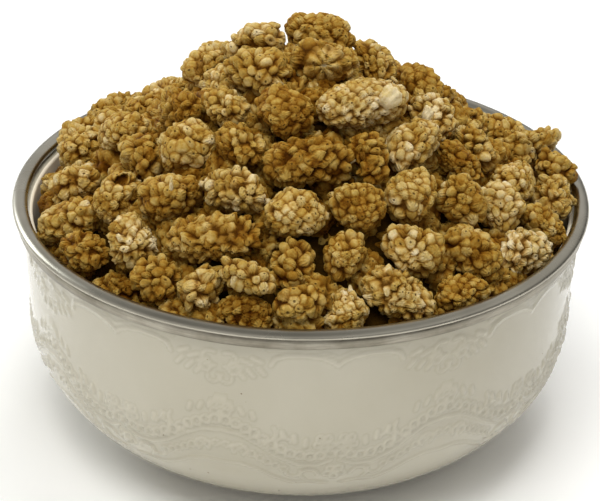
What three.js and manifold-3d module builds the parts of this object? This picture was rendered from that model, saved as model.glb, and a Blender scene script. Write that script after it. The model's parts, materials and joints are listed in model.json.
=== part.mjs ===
// A round glazed bowl with a metal rim, heaped with dried white mulberries.
// Millimetres, +Z up. The origin is the middle of the bowl's flat base, and the front is -Y.

import * as THREE from 'three';
import { mergeVertices } from 'three/addons/utils/BufferGeometryUtils.js';
import { ConvexHull } from 'three/addons/math/ConvexHull.js';
import Module from 'manifold-3d';

const wasm = await Module();
wasm.setup();

// Bowl: a nearly upright wall over a round belly that ends in a flat base.
const RIM_HEIGHT = 64.5;
const WALL_RADIUS = 73.5;
const WALL_FOOT_RADIUS = 72.3;
const WALL_FOOT_HEIGHT = 33.7;
const BELLY_WIDTH = 49.7;
const BELLY_DEPTH = 37.3;
const WALL_THICKNESS = 2.8;
const FLOOR_THICKNESS = 4;
const LIP_ROUND = 0.7;
const ROUND_SIDES = 48;
const BELLY_STEPS_OUTSIDE = 8;
const BELLY_STEPS_INSIDE = 5;

// Rim: a polished bead on the lip, with a flat collar that hangs down outside the wall.
const BEAD_RADIUS = 76;
const BEAD_WIDTH = 4;
const BEAD_HEIGHT = 3.2;
const BEAD_ANGLES = [0, 40, 75, 105, 140, 180];
const BEAD_FOOT_OUT = 0.4;
const BEAD_FOOT_IN = 0.25;
const COLLAR_RADIUS = 75.1;
const COLLAR_TOP_DROP = 1.1;
const COLLAR_DROP = 3.4;

// Gap between pieces that touch.
const GAP = 0.3;

// Heap: its top falls from the peak to nothing over the rim's radius.
const HEAP_RISE = 49;
const HEAP_POWER = 1.25;
const CORE_DEPTH = 10.5;
const CORE_SIDES = 24;
const CORE_BELLY_STEPS = 4;
const CORE_RINGS = [60, 45, 30, 15, 0];

// Berries pressed into the heap, by a sunflower rule.
const BED_COUNT = 100;
const BED_REACH = 65;
const BED_DEPTH = 6;
const BED_DEPTH_SPREAD = 2.5;
const BED_LENGTH = 13.5;
const BED_LENGTH_SPREAD = 5;
const BED_WIDTH = 11;
const BED_WIDTH_SPREAD = 1.5;
const BED_LEAN = 30;
const BED_LUMPS = 12;
const BED_SEED = 2024;
const BED_SEED_STEP = 7;

// Loose berries, and the room that each has in the heap's hollow for it, measured at its lumps.
const LOOSE_LUMPS = 20;
const NEST_ROOM = 0.8;
const LUMP_SPREAD = 0.07;
const VALLEY_DEPTH = 0.14;
const BLUNTNESS = 0.42;
const TAPER = 0.08;
const SETTLE_ROUNDS = 120;
const SETTLE_STEP = 1.5;
const SETTLE_PULL = 0.15;
const SINK_STEPS = 8;
const SINK_STEP = 1;
const SINK_OVERLAP = 3;

const GOLDEN_ANGLE = Math.PI * (3 - Math.sqrt(5));
const UP = new THREE.Vector3(0, 0, 1);
const ACROSS = new THREE.Vector3(1, 0, 0);

const FINISHES = {
  glaze: { color: 0xd9d5c8, roughness: 0.3, metalness: 0 },
  metal: { color: 0xb5b2a8, roughness: 0.28, metalness: 1 },
  pale: { color: 0xd9bf84, roughness: 0.75, metalness: 0 },
  honey: { color: 0xc0994f, roughness: 0.75, metalness: 0 },
  amber: { color: 0xa0742f, roughness: 0.75, metalness: 0 },
  heap: { color: 0x96713a, roughness: 0.8, metalness: 0 },
};

// Loose berries, each as bearing round the bowl (degrees from the front, right positive), distance
// from the middle, turn of its length from straight across (degrees, left end down positive), length,
// width, extra height over the heap, and tone.
const LOOSE_BERRIES = [
  // front, low
  [-67, 64, 0, 19, 12.5, 0, 'honey'],
  [-48, 66, -30, 14, 11, 0, 'amber'],
  [-38, 67, -20, 15, 10.5, -1, 'amber'],
  [-42, 58, -62, 15, 12.5, 1, 'pale'],
  [-30, 63, -72, 13, 12, 0, 'honey'],
  [-21, 64, 60, 13, 11, -1, 'honey'],
  [-11, 66, -25, 15, 11, -1, 'amber'],
  [-2, 66, 5, 13, 10, -1, 'pale'],
  [8, 67, 78, 13, 11, -1, 'pale'],
  [20, 64, -28, 20, 12, -1, 'pale'],
  [33, 66, 25, 14, 10.5, -1, 'amber'],
  [44, 65, -25, 18, 12.5, 0, 'amber'],
  [54, 64, 30, 17, 12, 0, 'pale'],
  [67, 66, -15, 14, 10, -1, 'honey'],
  // front, middle
  [-22, 54, -5, 26, 12.5, 1, 'honey'],
  [-9, 60, -25, 15, 8.5, 0, 'pale'],
  [-2, 60, 60, 13, 11, -1, 'amber'],
  [2, 47, 10, 16, 13, 1, 'honey'],
  [14, 54, 70, 14, 12, -1, 'honey'],
  [29, 57, -20, 16, 13, 1, 'honey'],
  [17, 50, -10, 14, 12.5, 1, 'amber'],
  [-46, 49, 5, 18, 12, 0, 'honey'],
  [-57, 54, 55, 15, 12, 1, 'pale'],
  [-20, 42, -25, 18, 12, 0, 'pale'],
  // right
  [40, 45, 60, 15.5, 14, 2, 'honey'],
  [51, 48, -35, 14, 12, 1, 'pale'],
  [57, 57, -35, 15, 12, 0, 'honey'],
  [78, 56, 70, 14, 12, 1, 'pale'],
  [84, 67, 80, 16, 12, 2, 'honey'],
  [94, 70, -12, 12, 9.5, 4, 'amber'],
  [62, 43, -40, 14, 11, 0, 'amber'],
  [74, 49, -40, 14, 12, 0, 'honey'],
  [73, 38, -60, 15, 11.5, 1, 'pale'],
  [104, 60, -20, 17, 11, 1, 'honey'],
  // middle
  [4, 38, 5, 22, 14.5, 1, 'honey'],
  [26, 40, -75, 14, 9.5, 0, 'amber'],
  [50, 36, 48, 18, 12, 1, 'pale'],
  [34, 29, 24, 25, 12.5, 2, 'pale'],
  [-16, 25, -62, 16, 14, 1, 'amber'],
  [-25, 33, -30, 14, 11, 0, 'amber'],
  [-48, 42, 10, 16, 14, 1, 'honey'],
  [-39, 31, -50, 14, 11, 0, 'pale'],
  // left
  [-77, 63, 5, 15, 10, 1, 'pale'],
  [-62, 45, -70, 15, 12, 0, 'amber'],
  [-87, 49, -20, 16, 12, 1, 'honey'],
  [-101, 63, 30, 14, 12, 1, 'pale'],
  [-68, 33, -40, 15, 12, 1, 'amber'],
  // top
  [-45, 18, -20, 18, 13, 1, 'honey'],
  [20, 7, 0, 18, 12, -1, 'honey'],
  [-100, 14, -10, 17, 12.5, 3, 'pale'],
  [160, 11, -15, 18, 12, 3, 'honey'],
  [112, 20, -30, 14, 12, 1, 'honey'],
  [88, 34, -30, 15, 12, 1, 'amber'],
  [-120, 30, 30, 17, 12, 2, 'honey'],
  // back
  [140, 34, 30, 17, 12, 1, 'honey'],
  [-150, 40, -20, 18, 12, 1, 'pale'],
  [170, 52, 70, 18, 12, 1, 'honey'],
];

// Random numbers from 0 to 1, the same on every run.
function seededRandom(seed) {
  let state = seed;
  return () => {
    state = (state * 16807) % 2147483647;
    return state / 2147483647;
  };
}

// A geometry with shared corners and no empty triangles.
function closedGeometry(source) {
  const bare = source.clone();
  bare.deleteAttribute('normal');
  bare.deleteAttribute('uv');
  const merged = mergeVertices(bare, 1e-5);
  const old = merged.index.array;
  const kept = [];
  for (let i = 0; i < old.length; i += 3) {
    const [a, b, c] = [old[i], old[i + 1], old[i + 2]];
    if (a !== b && b !== c && c !== a) kept.push(a, b, c);
  }
  merged.setIndex(kept);
  return merged;
}

function toSolid(geometry) {
  const closed = closedGeometry(geometry);
  const vertProperties = new Float32Array(closed.attributes.position.array);
  const triVerts = new Uint32Array(closed.index.array);
  return new wasm.Manifold(new wasm.Mesh({ numProp: 3, vertProperties, triVerts }));
}

function toGeometry(solid) {
  const mesh = solid.getMesh();
  const geometry = new THREE.BufferGeometry();
  geometry.setAttribute('position', new THREE.BufferAttribute(mesh.vertProperties, 3));
  geometry.setIndex(new THREE.BufferAttribute(mesh.triVerts, 1));
  return geometry;
}

// A solid of revolution about Z, from points of [radius, height] going up outside and back inside.
function turned(profile, sides) {
  const points = profile.map(([radius, height]) => new THREE.Vector2(radius, height));
  return new THREE.LatheGeometry(points, sides).rotateX(Math.PI / 2);
}

// Points on the belly's quarter ellipse, moved inwards, from the given height up to the wall's foot.
function bellyArc(inset, fromHeight, count) {
  const across = BELLY_WIDTH - inset;
  const down = BELLY_DEPTH - inset;
  const centre = WALL_FOOT_RADIUS - BELLY_WIDTH;
  const start = Math.asin((WALL_FOOT_HEIGHT - fromHeight) / down);
  const points = [];
  for (let i = 0; i < count; i += 1) {
    const angle = start * (1 - i / count);
    points.push([centre + across * Math.cos(angle), WALL_FOOT_HEIGHT - down * Math.sin(angle)]);
  }
  return points;
}

function bowlGeometry() {
  const lipHeight = RIM_HEIGHT - BEAD_HEIGHT / 2 - GAP;
  const innerRadius = WALL_RADIUS - WALL_THICKNESS;
  const outside = [
    [0, 0],
    ...bellyArc(0, 0, BELLY_STEPS_OUTSIDE),
    [WALL_FOOT_RADIUS, WALL_FOOT_HEIGHT],
    [WALL_RADIUS, RIM_HEIGHT - COLLAR_DROP],
    [WALL_RADIUS, lipHeight - LIP_ROUND],
    [WALL_RADIUS - LIP_ROUND, lipHeight],
  ];
  const inside = [
    [0, FLOOR_THICKNESS],
    ...bellyArc(WALL_THICKNESS, FLOOR_THICKNESS, BELLY_STEPS_INSIDE),
    [WALL_FOOT_RADIUS - WALL_THICKNESS, WALL_FOOT_HEIGHT],
    [innerRadius, lipHeight - LIP_ROUND],
    [innerRadius + LIP_ROUND, lipHeight],
  ];
  return turned([...outside, ...inside.reverse()], ROUND_SIDES);
}

function rimGeometry() {
  const middle = BEAD_RADIUS - BEAD_WIDTH / 2;
  const collarInside = WALL_RADIUS + GAP;
  const profile = [
    [collarInside, RIM_HEIGHT - COLLAR_DROP],
    [COLLAR_RADIUS, RIM_HEIGHT - COLLAR_DROP],
    [COLLAR_RADIUS, RIM_HEIGHT - COLLAR_TOP_DROP],
  ];
  for (const degrees of BEAD_ANGLES) {
    const angle = THREE.MathUtils.degToRad(degrees);
    profile.push([
      middle + BEAD_WIDTH / 2 * Math.cos(angle),
      RIM_HEIGHT + BEAD_HEIGHT / 2 * Math.sin(angle),
    ]);
  }
  profile.push([middle - BEAD_WIDTH * BEAD_FOOT_OUT, RIM_HEIGHT - BEAD_HEIGHT * BEAD_FOOT_OUT]);
  profile.push([middle - BEAD_WIDTH * BEAD_FOOT_IN, RIM_HEIGHT - BEAD_HEIGHT / 2]);
  profile.push([collarInside, RIM_HEIGHT - BEAD_HEIGHT / 2]);
  profile.push(profile[0]);
  return turned(profile, ROUND_SIDES);
}

function heapTop(out) {
  return RIM_HEIGHT + HEAP_RISE * (1 - (out / BEAD_RADIUS) ** HEAP_POWER);
}

// A berry lying in the heap's surface, its middle at the given depth under the heap's top.
function layBerry({ bearing, out, turn, lean, length, width, depth }) {
  const angle = THREE.MathUtils.degToRad(bearing);
  const outward = new THREE.Vector3(Math.sin(angle), -Math.cos(angle), 0);
  const fall = HEAP_RISE * HEAP_POWER / BEAD_RADIUS * (out / BEAD_RADIUS) ** (HEAP_POWER - 1);
  const normal = outward.clone().multiplyScalar(fall).add(UP).normalize();
  const right = ACROSS.clone().addScaledVector(normal, -normal.x).normalize();
  const back = normal.clone().cross(right);
  const axis = right.multiplyScalar(Math.cos(THREE.MathUtils.degToRad(turn)));
  axis.addScaledVector(back, Math.sin(THREE.MathUtils.degToRad(turn)));
  axis.multiplyScalar(Math.cos(THREE.MathUtils.degToRad(lean)));
  axis.addScaledVector(normal, Math.sin(THREE.MathUtils.degToRad(lean)));
  const centre = outward.clone().multiplyScalar(out).setZ(heapTop(out));
  centre.addScaledVector(normal, -depth);
  return { centre, axis, normal, length, width, depth };
}

// How far a berry's middle has risen over its own depth under the heap's top.
function rise(berry) {
  const out = Math.hypot(berry.centre.x, berry.centre.y);
  return berry.depth - (heapTop(out) - berry.centre.z) * berry.normal.z;
}

// The straight middle line of a berry's capsule.
function spine(berry) {
  const half = (berry.length - berry.width) / 2;
  return new THREE.Line3(
    berry.centre.clone().addScaledVector(berry.axis, -half),
    berry.centre.clone().addScaledVector(berry.axis, half),
  );
}

// Keeps a berry inside the bowl's wall, or over the bead where it lies above the rim.
function keepInBowl(berry) {
  const line = spine(berry);
  const radius = berry.width / 2;
  for (const end of [line.start, line.end]) {
    const out = Math.hypot(end.x, end.y);
    const outward = new THREE.Vector3(end.x / out, end.y / out, 0);
    const wall = WALL_RADIUS - WALL_THICKNESS - 2 * GAP - radius;
    if (end.z < RIM_HEIGHT && out > wall) berry.centre.addScaledVector(outward, wall - out);
    const bead = outward.clone().multiplyScalar(BEAD_RADIUS - BEAD_WIDTH / 2).setZ(RIM_HEIGHT);
    const away = end.clone().sub(bead);
    const short = radius + BEAD_WIDTH / 2 - away.length();
    if (short > 0) berry.centre.addScaledVector(away.normalize(), short);
    const past = out + radius - BEAD_RADIUS;
    if (past > 0) berry.centre.addScaledVector(outward, -past);
  }
}

// The push that frees a berry's capsule from another's, or null where they are clear by the gap.
function pushFrom(berry, other, gap) {
  const reach = (berry.width + other.width) / 2 + gap;
  const away = berry.centre.distanceTo(other.centre);
  if (away > reach + (berry.length - berry.width + other.length - other.width) / 2) return null;
  const here = new THREE.Vector3();
  const there = new THREE.Vector3();
  const distance = Math.sqrt(spine(berry).distanceSqToLine3(spine(other), here, there));
  if (distance >= reach) return null;
  return here.sub(there).normalize().multiplyScalar(reach - distance);
}

// Moves loose berries apart until they are clear of each other, each drawn back towards its own
// depth under the heap's top.
function settle(berries) {
  for (let round = 0; round < SETTLE_ROUNDS; round += 1) {
    const moves = berries.map((berry) => {
      const move = new THREE.Vector3();
      for (const other of berries) {
        const push = other === berry ? null : pushFrom(berry, other, GAP);
        if (push) move.addScaledVector(push, 0.5);
      }
      const pull = THREE.MathUtils.clamp(rise(berry), -SETTLE_PULL, SETTLE_PULL);
      return move.addScaledVector(berry.normal, -pull);
    });
    berries.forEach((berry, i) => {
      berry.centre.add(moves[i].clampLength(0, SETTLE_STEP));
      keepInBowl(berry);
    });
  }
}

// Lowers berries into the heap until the loose ones reach no more than the overlap into them.
function sink(berries, loose) {
  for (const berry of berries) {
    for (let step = 0; step < SINK_STEPS; step += 1) {
      if (!loose.some((other) => pushFrom(berry, other, -SINK_OVERLAP))) break;
      berry.centre.addScaledVector(berry.normal, -SINK_STEP);
    }
  }
}

// Directions spread evenly over a ball, the triangles that join them, and the slopes of a lumpy ball:
// each runs from a direction down to the middles of two triangles beside it.
function lumpPattern(count) {
  const directions = [];
  for (let i = 0; i < count; i += 1) {
    const x = 1 - (2 * i + 1) / count;
    const ring = Math.sqrt(1 - x * x);
    const angle = i * GOLDEN_ANGLE;
    directions.push(new THREE.Vector3(x, ring * Math.cos(angle), ring * Math.sin(angle)));
  }
  const faces = new ConvexHull().setFromPoints(directions).faces.map((face) => {
    const corners = [face.edge.tail(), face.edge.head(), face.edge.next.head()];
    return corners.map((corner) => directions.indexOf(corner.point));
  });
  const faceAt = new Map();
  faces.forEach(([a, b, c], face) => {
    for (const side of [[a, b], [b, c], [c, a]]) faceAt.set(side.join(), face);
  });
  const slopes = [...faceAt].map(([side, face]) => {
    const [peak, next] = side.split(',').map(Number);
    return [peak, faceAt.get([next, peak].join()), face];
  });
  const middles = faces.map(([a, b, c]) => {
    return directions[a].clone().add(directions[b]).add(directions[c]).normalize();
  });
  return { directions, faces, middles, slopes };
}

const LOOSE_PATTERN = lumpPattern(LOOSE_LUMPS);
const BED_PATTERN = lumpPattern(BED_LUMPS);

// The point of a blunt, slightly tapered berry along X that lies in the given direction.
function berryPoint(berry, direction, size, grow) {
  const ring = Math.hypot(direction.y, direction.z);
  const blunt = (1 - direction.x ** 2) ** BLUNTNESS * (1 - TAPER * direction.x);
  const radius = (berry.width / 2 * size + grow) * blunt;
  return new THREE.Vector3(
    (berry.length / 2 * size + grow) * direction.x,
    radius * direction.y / ring,
    radius * direction.z / ring,
  );
}

function lumpPeaks(berry, pattern, random, grow) {
  return pattern.directions.map((direction) => {
    return berryPoint(berry, direction, 1 - LUMP_SPREAD * random(), grow);
  });
}

// Turns a shape that lies along X to the berry's own place and direction.
function placeAtBerry(geometry, berry, roll) {
  const turn = new THREE.Quaternion().setFromUnitVectors(ACROSS, berry.axis);
  const spin = new THREE.Quaternion().setFromAxisAngle(ACROSS, roll);
  geometry.applyQuaternion(turn.multiply(spin));
  geometry.translate(berry.centre.x, berry.centre.y, berry.centre.z);
  return geometry;
}

// A lumpy berry: a peak for each lump, and a valley in the middle of each three.
function berryGeometry(berry, pattern, seed) {
  const random = seededRandom(seed);
  const peaks = lumpPeaks(berry, pattern, random, 0);
  const valleys = pattern.middles.map((middle) => berryPoint(berry, middle, 1 - VALLEY_DEPTH, 0));
  const points = [...peaks, ...valleys];
  const index = [];
  for (const [peak, before, after] of pattern.slopes) {
    index.push(peak, peaks.length + before, peaks.length + after);
  }
  const geometry = new THREE.BufferGeometry().setFromPoints(points);
  geometry.setIndex(index);
  return placeAtBerry(geometry, berry, 2 * Math.PI * random());
}

// The hollow that a loose berry has pressed into the heap: its peaks, a little further out.
function nestGeometry(berry, pattern, seed) {
  const random = seededRandom(seed);
  const peaks = lumpPeaks(berry, pattern, random, NEST_ROOM);
  const geometry = new THREE.BufferGeometry().setFromPoints(peaks);
  geometry.setIndex(pattern.faces.flat());
  return placeAtBerry(geometry, berry, 2 * Math.PI * random());
}

function bedBerries() {
  const random = seededRandom(BED_SEED);
  const berries = [];
  for (let i = 0; i < BED_COUNT; i += 1) {
    berries.push(layBerry({
      bearing: THREE.MathUtils.radToDeg(i * GOLDEN_ANGLE),
      out: BED_REACH * Math.sqrt((i + 0.5) / BED_COUNT),
      turn: 360 * random(),
      lean: BED_LEAN * (random() - 0.5),
      length: BED_LENGTH + BED_LENGTH_SPREAD * random(),
      width: BED_WIDTH + BED_WIDTH_SPREAD * random(),
      depth: BED_DEPTH + BED_DEPTH_SPREAD * random(),
    }));
  }
  return berries;
}

// The smooth middle of the heap, under the pressed-in berries.
function coreGeometry() {
  const inset = WALL_THICKNESS + 2 * GAP;
  const edge = WALL_RADIUS - WALL_THICKNESS - 2 * GAP;
  const profile = [
    [0, FLOOR_THICKNESS + GAP],
    ...bellyArc(inset, FLOOR_THICKNESS + GAP, CORE_BELLY_STEPS),
    [WALL_FOOT_RADIUS - inset, WALL_FOOT_HEIGHT],
    [edge, heapTop(edge) - CORE_DEPTH],
  ];
  for (const out of CORE_RINGS) profile.push([out, heapTop(out) - CORE_DEPTH]);
  return turned(profile, CORE_SIDES);
}

// Joins solids in pairs, so that each join stays small.
function joinAll(solids) {
  let pieces = solids;
  while (pieces.length > 1) {
    const joined = [];
    for (let i = 0; i + 1 < pieces.length; i += 2) joined.push(pieces[i].add(pieces[i + 1]));
    if (pieces.length % 2) joined.push(pieces[pieces.length - 1]);
    pieces = joined;
  }
  return pieces[0];
}

// Core and pressed-in berries in one body, with a hollow for each loose berry.
function heapGeometry(bed, loose) {
  const lumps = bed.map((berry, i) => {
    return toSolid(berryGeometry(berry, BED_PATTERN, BED_SEED + BED_SEED_STEP * i));
  });
  const nests = loose.map((berry, i) => toSolid(nestGeometry(berry, LOOSE_PATTERN, i + 1)));
  const joined = joinAll([toSolid(coreGeometry()), ...lumps]).subtract(joinAll(nests));
  const bodies = joined.decompose().sort((a, b) => b.volume() - a.volume());
  return toGeometry(bodies[0]);
}

function addMesh(group, name, geometry, finish) {
  const mesh = new THREE.Mesh(geometry, new THREE.MeshStandardMaterial(FINISHES[finish]));
  mesh.name = name;
  group.add(mesh);
}

const loose = LOOSE_BERRIES.map(([bearing, out, turn, length, width, lift]) => layBerry({
  bearing, out, turn, lean: 0, length, width, depth: width / 2 - lift,
}));
settle(loose);
const bed = bedBerries();
sink(bed, loose);

const group = new THREE.Group();
addMesh(group, 'bowl', closedGeometry(bowlGeometry()), 'glaze');
addMesh(group, 'rim_band', closedGeometry(rimGeometry()), 'metal');
addMesh(group, 'mulberry_heap', heapGeometry(bed, loose), 'heap');
loose.forEach((berry, i) => {
  const name = `mulberry_${String(i + 1).padStart(2, '0')}`;
  addMesh(group, name, berryGeometry(berry, LOOSE_PATTERN, i + 1), LOOSE_BERRIES[i].at(-1));
});

export default group;
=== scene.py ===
import json
import math
from collections import namedtuple
from itertools import combinations
from types import SimpleNamespace

import bpy
import numpy as np
from mathutils import Euler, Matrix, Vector


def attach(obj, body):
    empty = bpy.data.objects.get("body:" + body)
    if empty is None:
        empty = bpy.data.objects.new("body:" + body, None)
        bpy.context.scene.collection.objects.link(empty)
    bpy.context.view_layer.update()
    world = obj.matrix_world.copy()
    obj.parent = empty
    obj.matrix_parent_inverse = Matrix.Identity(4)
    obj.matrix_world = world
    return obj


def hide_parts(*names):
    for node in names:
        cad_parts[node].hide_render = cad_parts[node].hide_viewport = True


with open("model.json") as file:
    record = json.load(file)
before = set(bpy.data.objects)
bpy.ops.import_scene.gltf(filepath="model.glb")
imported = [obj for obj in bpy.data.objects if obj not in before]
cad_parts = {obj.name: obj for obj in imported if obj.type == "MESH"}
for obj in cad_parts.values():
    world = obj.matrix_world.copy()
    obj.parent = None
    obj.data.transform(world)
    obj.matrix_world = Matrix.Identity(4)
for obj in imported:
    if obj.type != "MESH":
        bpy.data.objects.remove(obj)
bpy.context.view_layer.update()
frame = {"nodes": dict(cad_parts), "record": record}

# Shapes are worked out in millimetres, and Blender takes metres.
MM = 0.001

# Bowl, as in the frame: a nearly upright wall over a round belly and a flat base.
RIM_HEIGHT = 64.5
WALL_RADIUS = 73.5
WALL_FOOT_RADIUS = 72.3
WALL_FOOT_HEIGHT = 33.7
BELLY_WIDTH = 49.7
BELLY_DEPTH = 37.3
WALL_THICKNESS = 2.8
FLOOR_THICKNESS = 4.0
LIP_HEIGHT = 62.6
LIP_ROUND = 0.7
FOOT_RING_WIDTH = 5.0
FOOT_RECESS = 0.5
FOOT_RECESS_SLOPE = 0.8
FOOT_EDGE = 0.6

# Rim: a polished bead on the lip, and a flat collar round the wall under it.
BEAD_RADIUS = 76.0
BEAD_WIDTH = 4.0
BEAD_RISE = 1.3
BEAD_FALL = 0.8
BEAD_STEP = 10
# Painted shade: the bead is painted dark below this height, fading out over the next span.
UNDERSIDE_SHADE_HEIGHT = 63.9
UNDERSIDE_SHADE_FADE = 0.45
COLLAR_RADIUS = 75.1
COLLAR_TOP_DROP = 0.7
COLLAR_DROP = 3.4
COLLAR_BEVEL = 0.15
COLLAR_TUCK = 0.3
COLLAR_LAP = 0.1
GAP = 0.3
RIM_SIDES = 352

# Heap: its top falls from the peak to nothing over the rim's radius.
HEAP_RISE = 49.0
HEAP_POWER = 1.25
HEAP = "mulberry_heap"

GOLDEN_ANGLE = math.pi * (3 - math.sqrt(5))
UPRIGHT = np.array([0, 0, 1.0])


def unit(vectors):
    return vectors / np.linalg.norm(vectors, axis=-1, keepdims=True)


def make_object(name, data):
    made = bpy.data.objects.new(name, data)
    bpy.context.scene.collection.objects.link(made)
    return made


def make_mesh(name, points, faces, material):
    """A mesh in the object's frame, from points in millimetres."""
    mesh = bpy.data.meshes.new(name)
    mesh.from_pydata((np.asarray(points) * MM).tolist(), [], faces)
    mesh.materials.append(material)
    return make_object(name, mesh)


def make_piece(name, points, faces, material, slot, replaced):
    piece = make_mesh(name, points, faces, material)
    piece.data.shade_smooth()
    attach(piece, "root")
    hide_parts(replaced)
    return piece


def store(piece, name, values):
    """Values for a piece's material: numbers for points, or vectors for the faces' corners."""
    kind, domain, field = "FLOAT", "POINT", "value"
    if values.ndim > 1:
        kind, domain, field = "FLOAT_VECTOR", "CORNER", "vector"
    data = piece.data.attributes.new(name, kind, domain).data
    data.foreach_set(field, values.reshape(-1).astype(np.float32))


# Materials

def color(red, green, blue):
    """An 8-bit display colour as linear light, and opaque."""
    parts = [((c / 255 + 0.055) / 1.055) ** 2.4 if c > 10 else c / 255 / 12.92
             for c in (red, green, blue)]
    return (*parts, 1.0)


class Nodes:
    """A node tree, with short ways to add nodes to it."""

    def __init__(self, tree):
        self.nodes = tree.nodes
        self.links = tree.links

    def add(self, kind, values=(), **settings):
        node = self.nodes.new("ShaderNode" + kind)
        for key, value in settings.items():
            setattr(node, key, value)
        for key, value in dict(values).items():
            if isinstance(value, bpy.types.NodeSocket):
                self.links.new(value, node.inputs[key])
            else:
                node.inputs[key].default_value = value
        return node

    def math(self, operation, first, second=0.0, clamp=False):
        values = {0: first, 1: second}
        return self.add("Math", values, operation=operation, use_clamp=clamp).outputs[0]

    def times(self, first, second):
        return self.math("MULTIPLY", first, second)

    def swing(self, value, amount):
        """A value from 0 to 1, as one about nothing."""
        return self.times(self.math("SUBTRACT", value, 0.5), amount)

    def span(self, value, low, high, start=0.0, end=1.0):
        """Start to end, smoothly, as value goes from low to high."""
        values = {"Value": value, "From Min": low, "From Max": high, "To Min": start, "To Max": end}
        return self.add("MapRange", values, interpolation_type="SMOOTHSTEP").outputs[0]

    def mix(self, share, first, second, blend="MIX"):
        values = {0: share, 6: first, 7: second}
        return self.add("Mix", values, data_type="RGBA", blend_type=blend).outputs[2]

    def ramp(self, value, stops):
        node = self.add("ValToRGB", {0: value})
        elements = node.color_ramp.elements
        while len(elements) < len(stops):
            elements.new(1.0)
        for element, (place, parts) in zip(elements, stops):
            element.position = place
            element.color = (*parts[:3], 1.0)
        return node.outputs[0]

    def place(self):
        return self.add("TexCoord").outputs["Object"]

    def parts(self, vector):
        return self.add("SeparateXYZ", {0: vector}).outputs

    def length(self, across, up):
        """How far a place in a plane lies from its middle."""
        flat = self.add("CombineXYZ", {0: across, 1: up}).outputs[0]
        return self.add("VectorMath", {0: flat}, operation="LENGTH").outputs["Value"]

    def noise(self, scale, detail=2.0, roughness=0.5, vector=None):
        values = {"Scale": scale, "Detail": detail, "Roughness": roughness}
        values["Vector"] = self.place() if vector is None else vector
        return self.add("TexNoise", values).outputs[0]

    def bump(self, height, strength, distance):
        values = {"Height": height, "Strength": strength, "Distance": distance}
        return self.add("Bump", values).outputs[0]


class Surface(Nodes):
    """A material and its nodes, with the shader's own values given by name."""

    def __init__(self, name, **constants):
        self.material = bpy.data.materials.new(name)
        self.material.use_nodes = True
        super().__init__(self.material.node_tree)
        self.shader = self.nodes["Principled BSDF"]
        for key, value in constants.items():
            self.shader.inputs[key.replace("_", " ")].default_value = value

    def read(self, name, output="Fac"):
        """Values that the mesh stores for its material."""
        return self.add("Attribute", attribute_name=name).outputs[output]

    def link(self, name, value):
        self.links.new(value, self.shader.inputs[name])


# Glaze: cloudy, and greyer beside the raised lines, where it pools and as painted shade, and
# lighter on their tops as painted highlight, by shares of their height.
GLAZE_STOPS = [(0.3, color(186, 179, 158)), (0.7, color(194, 188, 169))]
POOLED_AND_SHADED_STOPS = [
    (0.00, (0.95, 0.95, 0.95)),
    (0.12, (0.89, 0.885, 0.87)),
    (0.35, (0.93, 0.93, 0.92)),
    (0.80, (1.0, 1.0, 1.0)),
]
SPECK_COLOR = color(120, 104, 78)
# A paler cream inside the bowl, as painted light on its shaded inner wall.
INNER_PAINTED_LIGHT_COLOR = color(236, 226, 204)
INNER_INSET = 2.0


def glaze_material():
    surface = Surface("cream_glaze", Roughness=0.16, IOR=1.5, Coat_Weight=0.35,
                      Coat_Roughness=0.06)
    body = surface.ramp(surface.noise(28.0, detail=3.0), GLAZE_STOPS)
    speck = surface.span(surface.noise(620.0, detail=1.0, roughness=0.4), 0.80, 0.83)
    body = surface.mix(speck, body, SPECK_COLOR)
    # Painted shade beside the raised lines and painted highlight on their tops, together with the
    # glaze's pooling.
    body = surface.mix(1.0, body, surface.ramp(surface.read("raised"), POOLED_AND_SHADED_STOPS), "MULTIPLY")
    across, back, up = surface.parts(surface.place())
    # Painted light: above the wall's foot, the inner wall is painted a paler cream than the
    # outside.
    edge = (WALL_RADIUS - INNER_INSET) * MM
    inner = surface.times(surface.math("LESS_THAN", surface.length(across, back), edge),
                          surface.math("GREATER_THAN", up, WALL_FOOT_HEIGHT * MM))
    surface.link("Base Color", surface.mix(inner, body, INNER_PAINTED_LIGHT_COLOR))
    surface.link("Normal", surface.bump(surface.noise(420.0), strength=0.12, distance=0.0004))
    return surface.material


BEAD_STOPS = [(0.35, color(166, 161, 147)), (0.65, color(184, 179, 165))]
UNDERSIDE_SHADE_COLOR = color(52, 46, 34)
COLLAR_STOPS = [(0.32, color(128, 122, 108)), (0.68, color(182, 176, 162))]
STREAK_COLOR = color(98, 92, 80)
STREAK_SCALE = (10.8, 2600.0, 1.0)


def bead_material():
    surface = Surface("polished_rim", Metallic=1.0)
    metal = surface.ramp(surface.noise(60.0, detail=4.0), BEAD_STOPS)
    height = surface.parts(surface.place())[2]
    # Painted shade: the bead's underside is painted dark, up to a height, then fades.
    underside_shade = surface.span(height, UNDERSIDE_SHADE_HEIGHT * MM, (UNDERSIDE_SHADE_HEIGHT + UNDERSIDE_SHADE_FADE) * MM, 1.0, 0.0)
    surface.link("Base Color", surface.mix(underside_shade, metal, UNDERSIDE_SHADE_COLOR))
    surface.link("Roughness", surface.span(surface.noise(90.0), 0.3, 0.7, 0.25, 0.32))
    return surface.material


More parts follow.
